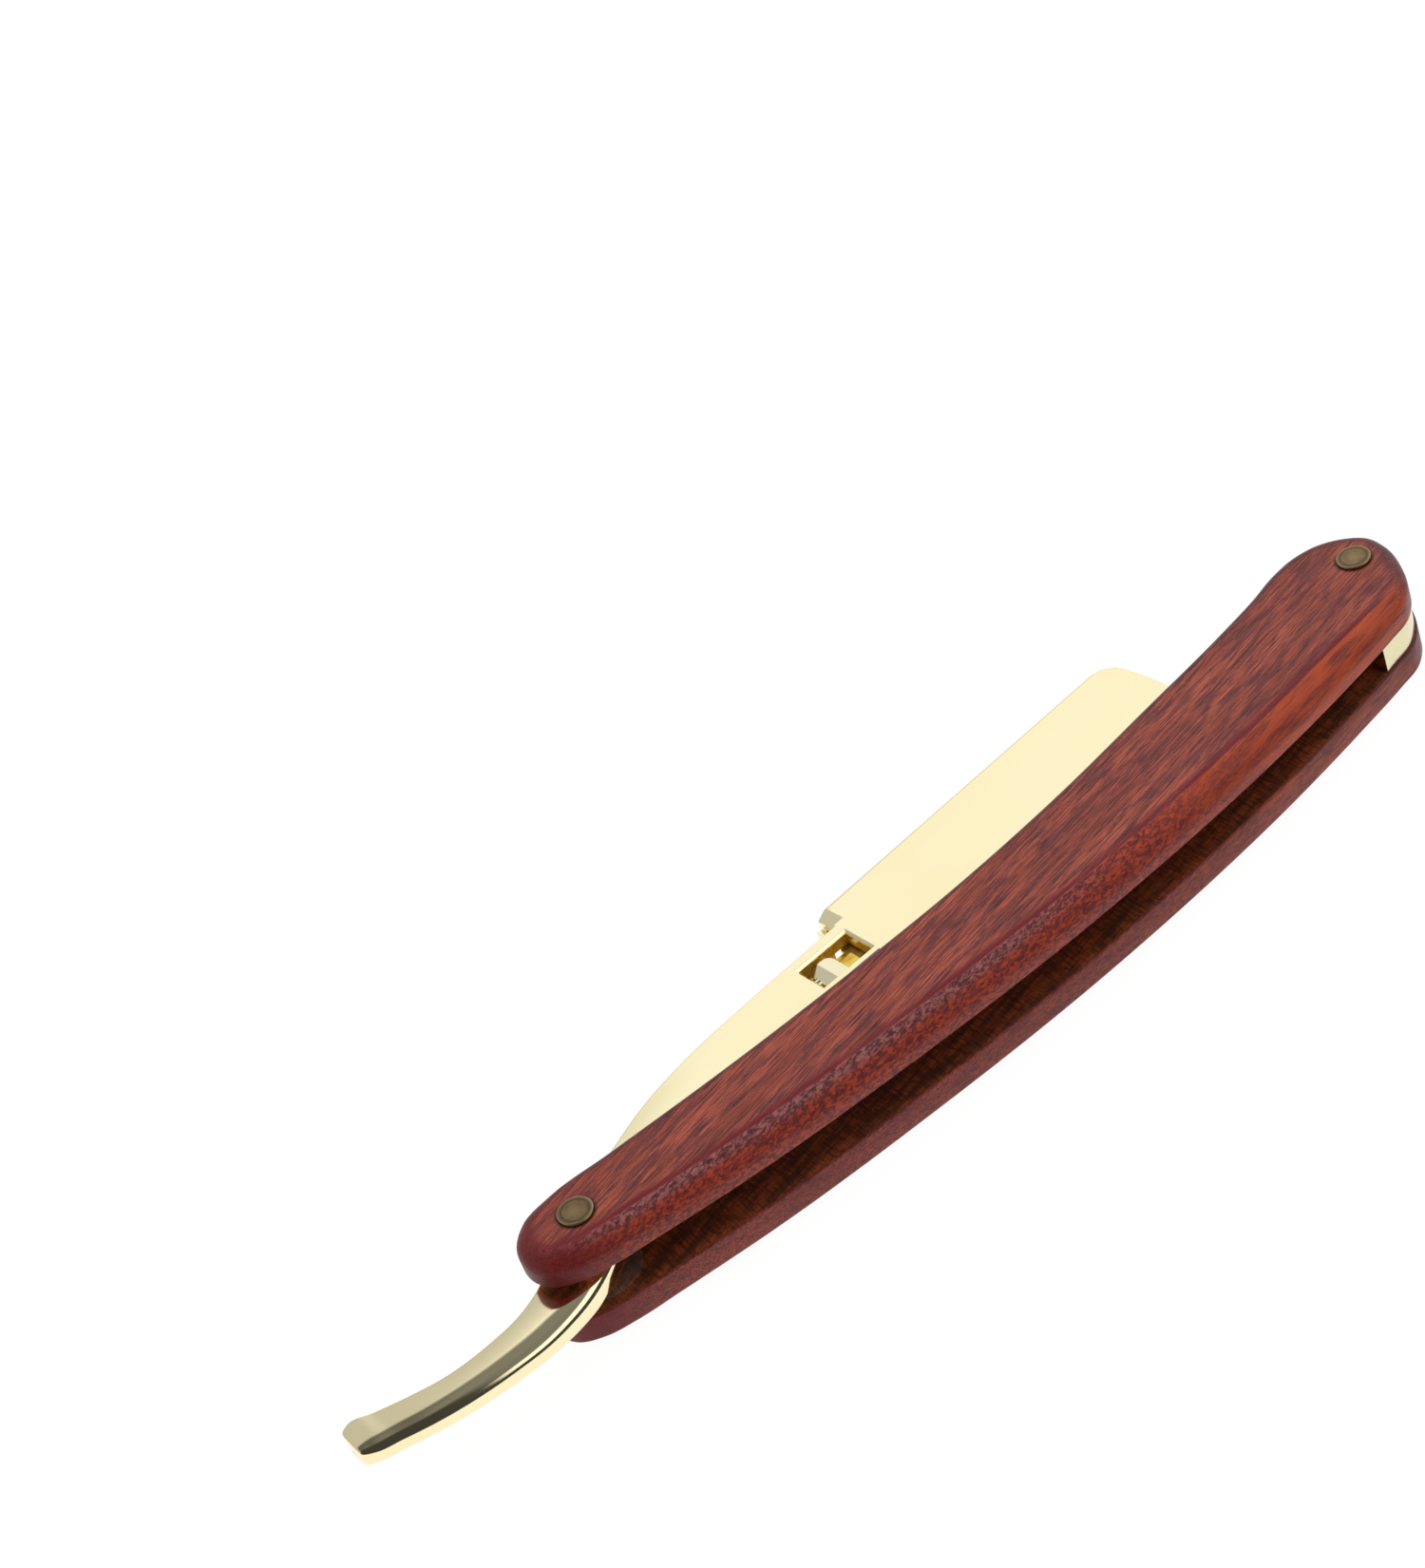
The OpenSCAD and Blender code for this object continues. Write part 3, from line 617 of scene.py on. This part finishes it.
WOOD_OUT, WOOD_IN = wood("waxed_hardwood", False), wood("sawn_hardwood", True)
GILT = gilt("gold_plating", (252, 240, 198), 0.1, pocket=True)
GILT_LATCH = gilt("gold_plating_latch", (246, 236, 200), 0.14)
GILT_PALE = gilt("gold_plating_pale", (230, 221, 184), 0.18)
BRASS = antique("antique_brass")
STEEL, WIRE = steel("blade_steel", 0.2, (9, 0.4, 1)), steel("spring_wire", 0.25, (3, 3, 3))
NYLON = clear_plastic("clear_nylon")


# ---- Wooden scales ------------------------------------------------------------------------------

CREASE = math.radians(70)
OUTLINE = smooth_curve(SCALE_KEYS, 14, True)


def scale(name, node, front):
    """Scale with a flat outer face, a soft crease and a rounded outer edge."""
    normal = outward(OUTLINE)
    r = OUTLINE[:, 2] * (1 if front else REAR_ROUND)
    profile = []
    for a in (0, 30, 60, 90):
        s, c = math.sin(math.radians(a)), math.cos(math.radians(a))
        profile.append([np.full_like(r, INNER_CHAMFER * (1 - v)) for v in (s, c)])
    wide, tall = r / (1 - math.cos(CREASE)), r / math.sin(CREASE)
    for k in range(13):
        t = CREASE * k / 12
        profile.append((wide * (1 - math.cos(t)), SCALE_T - r + tall * math.sin(t)))
    for extra in (0.12, 0.35, 0.7, 1.2, 1.9):
        profile.append((r + extra, np.full_like(r, SCALE_T)))
    rings = []
    for inset, height in profile:
        xy = OUTLINE[:, :2] - inset[:, None] * normal
        z = front_in(xy[:, 0]) + height if front else REAR_IN - height
        rings.append(np.c_[xy, z])
    obj = skin(name, rings)
    for x in (0, PIN_SPAN):
        seat = front_in(x) + SCALE_T - HEAD_SUNK if front else HEAD_PROUD + HEAD_SUNK
        a, b = (seat, seat + 6) if front else (seat - 6, seat)
        cut(obj, move(cylinder(TUBE_R, -5, 25), Matrix.Translation((x, 0, 0))),
            move(cylinder(HEAD_D / 2 + PLAY, a, b, 96), Matrix.Translation((x, 0, 0))))
    # How far each point lies in from the outline, as a share of the rounding there
    points = np.array([v.co for v in obj.data.vertices])
    across, convex = np.zeros(len(points)), np.zeros(len(points))
    for i, p in enumerate(points):
        d = np.hypot(*(OUTLINE[:, :2] - p[:2]).T)
        near = d.argmin()
        across[i] = d[near] / OUTLINE[near, 2]
        convex[i] = np.clip((OUTLINE[near, 2] - 1.5) / 1.2, 0, 1) * (1 if front else 0.35)
    for label, values in (("across", across), ("convex", convex)):
        attribute = obj.data.attributes.new(label, "FLOAT", "POINT")
        attribute.data.foreach_set("value", values.astype(np.float32))
    inner = Vector((-LEAN, 0, -1)).normalized() if front else Vector((0, 0, 1))
    for p in obj.data.polygons:
        p.material_index = int(p.normal.dot(inner) > 0.9999)
    smooth(obj, 40)
    return piece(obj, name, "scales", [WOOD_OUT, WOOD_IN], [node])


scale("front_scale_wood", "front_scale", True)
scale("rear_scale_wood", "rear_scale", False)


# ---- Blade arm ----------------------------------------------------------------------------------

def arm_rings():
    """Sections of the tail, tang and shank, from the tip of the tail to the head."""
    drop = ARM_HI - ARM_LO - TAIL_TIP_T
    rings = []
    for k in smooth_curve(ARM_KEYS, 10, False):
        s, e = k[0:2], k[2:4]
        w = np.linalg.norm(e - s)
        u = (e - s) / w
        fall = drop * min(1, max(0, -s[0] - 7) / (TAIL_REACH - 7))
        lo, hi = ARM_LO + fall + k[4], arm_hi(s[0]) - k[4]
        lo += TIP_LIFT * min(1, max(0, -s[0] - TAIL_REACH + 3) / 3) ** 2
        spine_r, edge_r = k[5], k[6]
        wide = edge_r * (1 + TAIL_SPREAD * min(1, max(0, -s[0] / 12)))
        corners = ((spine_r, hi - spine_r, spine_r, spine_r, 180),
                   (w - wide, hi - edge_r, edge_r, wide, 90),
                   (w - wide, lo + edge_r, edge_r, wide, 0),
                   (spine_r, lo + spine_r, spine_r, spine_r, -90))
        ring = []
        for x, z, r, across, start in corners:
            for j in range(9):
                a = math.radians(start - 90 * j / 8)
                q = s + u * (x + across * math.cos(a))
                ring.append((q[0], q[1], z + r * math.sin(a)))
        rings.append(ring)
    return rings


def head_outline():
    """Outline of the head in its own frame, from its heel round a bowed toe."""
    bow = math.degrees(math.asin((HEAD_H / 2 - 3) / TOE_BOW))

    def arc(x, y, radius, start, end, n):
        angles = [math.radians(start + (end - start) * i / n) for i in range(n + 1)]
        return [(x + radius * math.cos(a), y + radius * math.sin(a)) for a in angles]

    set_back = TOE_BOW * (1 - math.cos(math.radians(bow)))
    return ([(0, -HEAD_H), (0, 0)]
            + arc(HEAD_LEN - TOE_R - set_back, -TOE_R, TOE_R, 90, bow + 4, 14)
            + arc(HEAD_LEN - TOE_BOW, -HEAD_H / 2 - 1.2, TOE_BOW, bow, -bow, 16)
            + arc(HEAD_LEN - 1.6, -HEAD_H + 1, 1, -bow, -90, 8))


def block(lo, hi, matrix=None):
    """Box between two corners, used for cutting."""
    outline = [(lo[0], lo[1]), (lo[0], hi[1]), (hi[0], hi[1]), (hi[0], lo[1])]
    obj = prism("tool", outline, lo[2], hi[2])
    return move(obj, matrix) if matrix else obj


def blade_arm():
    obj = skin("arm", arm_rings())
    plate = move(prism("tool", head_outline(), PLATE_LO, ARM_HI + 0.5), at_head())
    bar = cut(prism("bar", head_outline(), ARM_LO, PLATE_LO + 0.4),
              block((-9, -40, 0), (90, -SPINE_BAR, 20)))
    join(obj, plate, move(bar, at_head()))
    lean = turned("Y", math.degrees(TILT))
    flush = 0.004
    cut(obj, block((-20, -80, 0), (200, 80, 9), Matrix.Translation((0, 0, ARM_HI - flush)) @ lean))
    # Hollow front face past the shoulder, entered by a short slope
    depth, foot = 1.2, HEAD_SHOULDER + 0.4
    ramp = [(foot, -depth), (foot - 2 * depth / SHOULDER_SLOPE, depth), (90, depth), (90, -depth)]
    tool = move(prism("tool", ramp, 0, 80), turned("X", 90))
    face = at_head(0, -1, arm_hi(HEAD_FROM)) @ lean @ turned("X", FACE_DROP)
    cut(obj, move(tool, face @ Matrix.Translation((0, 0, depth))))
    # Bevels along the heel and the spine
    heel_slope = math.degrees(math.atan(HEEL_DROP / HEEL_BEVEL))
    heel = at_head(HEEL_BEVEL, 0, arm_hi(HEAD_FROM + HEEL_BEVEL)) @ turned("Y", -heel_slope)
    spine = at_head(0, -SPINE_BEVEL, arm_hi(HEAD_FROM)) @ lean @ turned("X", -SPINE_SLOPE)
    cut(obj, block((-30, -3.4, 0), (30, 30, 30), heel), block((-30, 0, 0), (120, 30, 30), spine))
    # Room for the clamp leaf, its tongue and its tab
    tab_room = HEAD_FROM - 2.2
    cut(obj, block((TONGUE_X - 0.4, -40, 0), (140, WALL_Y, PLATE_LO)),
        block((tab_room, -40, 0), (HEAD_FROM + HEEL_BEVEL, 60, PLATE_LO)),
        block((0, -60, 0), (90, -SPINE_BAR, PLATE_LO), at_head()))
    # Window with a bevelled rim
    wx, wy, wl, ww = WINDOW
    rings = []
    for by, z in ((2 * WINDOW_RIM, WINDOW_RIM), (0, -WINDOW_RIM), (0, -10)):
        l, w = wl / 2 + by, ww / 2 + by
        rings.append([(-l, -w, z), (-l, w, z), (l, w, z), (l, -w, z)])
    middle = (wx + wl / 2, wy + ww / 2, arm_hi(wx + wl / 2))
    cut(obj, move(skin("tool", rings), Matrix.Translation(middle) @ lean))
    # Bores for the rivet, the latch's stem, the leaf's pin and the blade's pegs
    along_x = Matrix.Translation((BORE_END, STEM_Y, STEM_Z)) @ turned("Y", 90)
    cut(obj, cylinder(TUBE_R + PLAY, -5, 30),
        move(cylinder(STEM_R + PLAY, 0, wx - BORE_END + 0.5, 32), along_x),
        move(cylinder(1, PLATE_LO - 1, PLATE_LO + 0.45), at_head(*LEAF_PIN)))
    for share in PEG_SHARES:
        cut(obj, move(cylinder(1.2, PLATE_LO - 1, PLATE_LO + 0.5),
                      at_head(BLADE_U + share * BLADE_LEN, BLADE_V + BLADE_W)))
    return smooth(clean(obj), 28)


piece(blade_arm(), "gilt_arm", "arm", [GILT], ["blade_arm"])


# ---- Rivets, washers, spacer and spring ---------------------------------------------------------

def head_profile(z, sign):
    """Half section of a rivet head with its outer face at z, a rounded rim and a slight dish."""
    r, t, dish = HEAD_D / 2, HEAD_PROUD + HEAD_SUNK, z - sign * 0.03
    rim = rounded([(r - 0.9, 0, 0), (r, 0, 0.16), (r, t, 0.03)], 8)
    return [(0, dish), (r - 1.3, dish)] + [(x, z - sign * y) for x, y in rim]


def rivet(label, x, front, node):
    top = front_in(x) + SCALE_T + HEAD_PROUD
    t = HEAD_PROUD + HEAD_SUNK
    if front:
        profile = head_profile(top, 1) + [(PIN_R, top - t), (PIN_R, 2.2), (0, 2.2)]
    else:
        end = top - t - 0.4
        tube = [(TUBE_R, t), (TUBE_R, end), (PIN_R, end), (PIN_R, 1.6), (0, 1.6)]
        profile = head_profile(0, -1) + tube
    obj = smooth(move(lathe(label, profile), Matrix.Translation((x, 0, 0))), 30)
    return piece(obj, label, "scales", [BRASS], [node])


rivet("pivot_rivet_front", 0, True, "pivot_rivet_pin")
rivet("pivot_rivet_back", 0, False, "pivot_rivet_tube")
rivet("butt_rivet_front", PIN_SPAN, True, "butt_rivet_pin")
rivet("butt_rivet_back", PIN_SPAN, False, "butt_rivet_tube")


def washer(label, z, node):
    hole, top = TUBE_R + PLAY, z + WASHER_T
    profile = rounded([(hole, z, 0.06), (WASHER_R, z, 0.12), (WASHER_R, top, 0.12),
                       (hole, top, 0.06)])
    obj = smooth(lathe(label, profile, 128))
    return piece(obj, label, "scales", [NYLON], [node])


washer("clear_washer_front", front_in(WASHER_R) - WASHER_T, "front_washer")
washer("clear_washer_rear", REAR_IN, "rear_washer")


def spacer():
    """Gilt spacer that follows the butt's outline, its edges softly broken."""
    inset = OUTLINE[:, :2] - SPACER_INSET * outward(OUTLINE)
    start = PIN_SPAN - SPACER_BACK
    keep = inset[inset[:, 0] > start]
    first = np.argmin(np.where(keep[:, 1] > 0, keep[:, 0], 1e9))
    keep = np.roll(keep, -first, 0)
    outline = np.concatenate([[(start, keep[0, 1])], keep, [(start, keep[-1, 1])]])
    inward = outline.mean(0) - outline
    inward /= np.linalg.norm(inward, axis=1)[:, None]
    rings = []
    for inner, rise in ((0.12, 0), (0.035, 0.035), (0, 0.12)):
        xy = outline + inward * inner
        rings.append(np.c_[xy, np.full(len(xy), REAR_IN + rise)])
    rings += [np.c_[r[:, :2], front_in(r[:, 0]) - (r[:, 2] - REAR_IN)] for r in rings[::-1]]
    if len(outline) % 2:
        rings = [np.delete(r, len(outline) // 3, 0) for r in rings]
    obj = skin("spacer", rings)
    cut(obj, move(cylinder(TUBE_R, -5, 30), Matrix.Translation((PIN_SPAN, 0, 0))))
    return piece(smooth(obj, 50), "gilt_spacer", "scales", [GILT_PALE],
                 ["butt_spacer"])


spacer()


def spring():
    """Return spring, which shortens between the end of its bore, on the arm, and the latch."""
    sides, per_turn, gap = 12, 36, 0.05
    coil, length = STEM_R - WIRE_R - gap, COIL_ROOM - 2 * WIRE_R - 2 * gap
    first = BORE_END + WIRE_R + gap
    rings = []
    for i in range(COIL_TURNS * per_turn + 1):
        a = TURN * i / per_turn
        x = first + length * i / (COIL_TURNS * per_turn)
        ring = []
        for j in range(sides):
            b = TURN * j / sides
            q = coil + WIRE_R * math.cos(b)
            ring.append((x + WIRE_R * math.sin(b), STEM_Y + q * math.cos(a),
                         STEM_Z + q * math.sin(a)))
        rings.append(ring)
    start, end = ([x * MM, STEM_Y * MM, STEM_Z * MM] for x in (first, first + length))
    return piece(smooth(skin("spring", rings), 60), "return_spring", ("arm", "latch", start, end),
                 [WIRE], ["latch_spring"])


spring()

# The other nodes keep their shape. Each has a material, the width of its broken edges and a slot
KEPT = {"clamp_leaf": (GILT, 0.08, "gold_plate"), "clamp_pin": (GILT, 0.05, "gold_plate"),
        "blade_pegs": (GILT, 0.05, "gold_plate"), "release_latch": (GILT_LATCH, 0.1, "gold_plate"),
        "razor_blade": (STEEL, 0, "blade_steel")}
for node, (material, width, slot) in KEPT.items():
    obj = frame["nodes"][node]
    obj.data.materials.clear()
    obj.data.materials.append(material)
    if width:
        bevel = obj.modifiers.new("edges", "BEVEL")
        bevel.width, bevel.segments, bevel.limit_method = width * MM, 2, "ANGLE"
        bevel.angle_limit = math.radians(32)


# ---- Floor, light and camera --------------------------------------------------------------------

LIT = (0.06, 0, 0)
# Camera angles in degrees, the point it looks at and its distance in mm in the front scale's plane,
# and its focal length as a share of the picture's height
VIEW_AZIMUTH, VIEW_ELEVATION, VIEW_ROLL = -28.32, 38.14, -20.26
LOOK_AT, DISTANCE, FOCAL, SENSOR = (62.44, 44.97, 0), 551.45, 4306.65 / 1650, 36

def floor():
    """Pale floor that glows a little, so that it stays white beside the gilt."""
    half = 3
    corners = [(-half, -half, 0), (half, -half, 0), (half, half, 0), (-half, half, 0)]
    obj = mesh_object("floor", corners, [(0, 1, 2, 3)])
    m = Nodes("pale_floor")
    m.set(Base_Color=(0.1, 0.1, 0.1), Roughness=0.9, Specular_IOR_Level=0.0,
          Emission_Color=(1, 1, 1), Emission_Strength=0.95)
    obj.data.materials.append(m.material)


def world():
    """Studio seen in the polished metal: soft boxes behind and in front, darker between them."""
    scene.world = bpy.data.worlds.new("studio")
    scene.world.use_nodes = True
    m = Graph(scene.world.node_tree)
    coord = m.node("TexCoord").outputs["Generated"]
    x, y, z = (m.axis(coord, i) for i in range(3))
    side = m.math("MULTIPLY_ADD", y, -0.40, x)
    back = m.ramp(side, -0.06, 0.05, 0.56, 1.0)
    back = m.product(back, m.ramp(z, 0.86, 0.78, 0.22, 1.02), m.ramp(z, 0.36, 0.46, 0.78, 1))
    front = m.product(m.ramp(z, 0.5, 0.56), m.ramp(z, 0.86, 0.8, 0.12, 1), m.ramp(x, 0.02, 0.14))
    front = m.math("MULTIPLY_ADD", front, 1.25, 0.05)
    level = m.node("Mix", data_type="FLOAT")
    m.link(m.ramp(y, -0.12, 0.06), level.inputs[0])
    m.link(front, level.inputs[2])
    m.link(back, level.inputs[3])
    background = m.tree.nodes["Background"]
    m.link(level.outputs[0], background.inputs["Strength"])
    m.link((1, 1, 1), background.inputs["Color"])


def area(name, place, size, power):
    """Soft light aimed at the razor, which isn't mirrored in the metal."""
    data = bpy.data.lights.new(name, "AREA")
    data.size, data.energy = size, power
    obj = bpy.data.objects.new(name, data)
    obj.location = place
    obj.rotation_euler = (Vector(LIT) - Vector(place)).to_track_quat("-Z", "Y").to_euler()
    obj.visible_glossy = False
    scene.collection.objects.link(obj)


def camera():
    """Camera fitted to the near and far rivets, the arm and the scales."""
    azimuth, elevation, roll = (math.radians(a) for a in (VIEW_AZIMUTH, VIEW_ELEVATION, VIEW_ROLL))
    back = Vector((math.sin(azimuth) * math.cos(elevation),
                   -math.cos(azimuth) * math.cos(elevation), math.sin(elevation)))
    level = Vector((math.cos(azimuth), math.sin(azimuth), 0))
    rise = back.cross(level)
    right = math.cos(roll) * level + math.sin(roll) * rise
    up = -math.sin(roll) * level + math.cos(roll) * rise
    place = Vector(LOOK_AT) + back * DISTANCE
    rest = Matrix.Rotation(TILT, 3, "Y")
    turn = Matrix((rest @ right, rest @ up, rest @ back)).transposed().to_4x4()
    top = front_in(0) + SCALE_T + HEAD_PROUD
    data = bpy.data.cameras.new("camera")
    data.sensor_width, data.lens = SENSOR, FOCAL * SENSOR
    data.clip_start, data.clip_end = 0.01, 20
    obj = bpy.data.objects.new("camera", data)
    obj.matrix_world = Matrix.Translation((rest @ place + Vector((0, 0, top))) * MM) @ turn
    scene.collection.objects.link(obj)
    scene.camera = obj


floor()
world()
area("overhead", (0.05, 0.1, 0.9), 0.8, 4)
area("fill", (-0.3, -0.8, 0.5), 0.6, 0.4)
camera()
scene.view_settings.view_transform = "Standard"
scene.view_settings.look = "None"
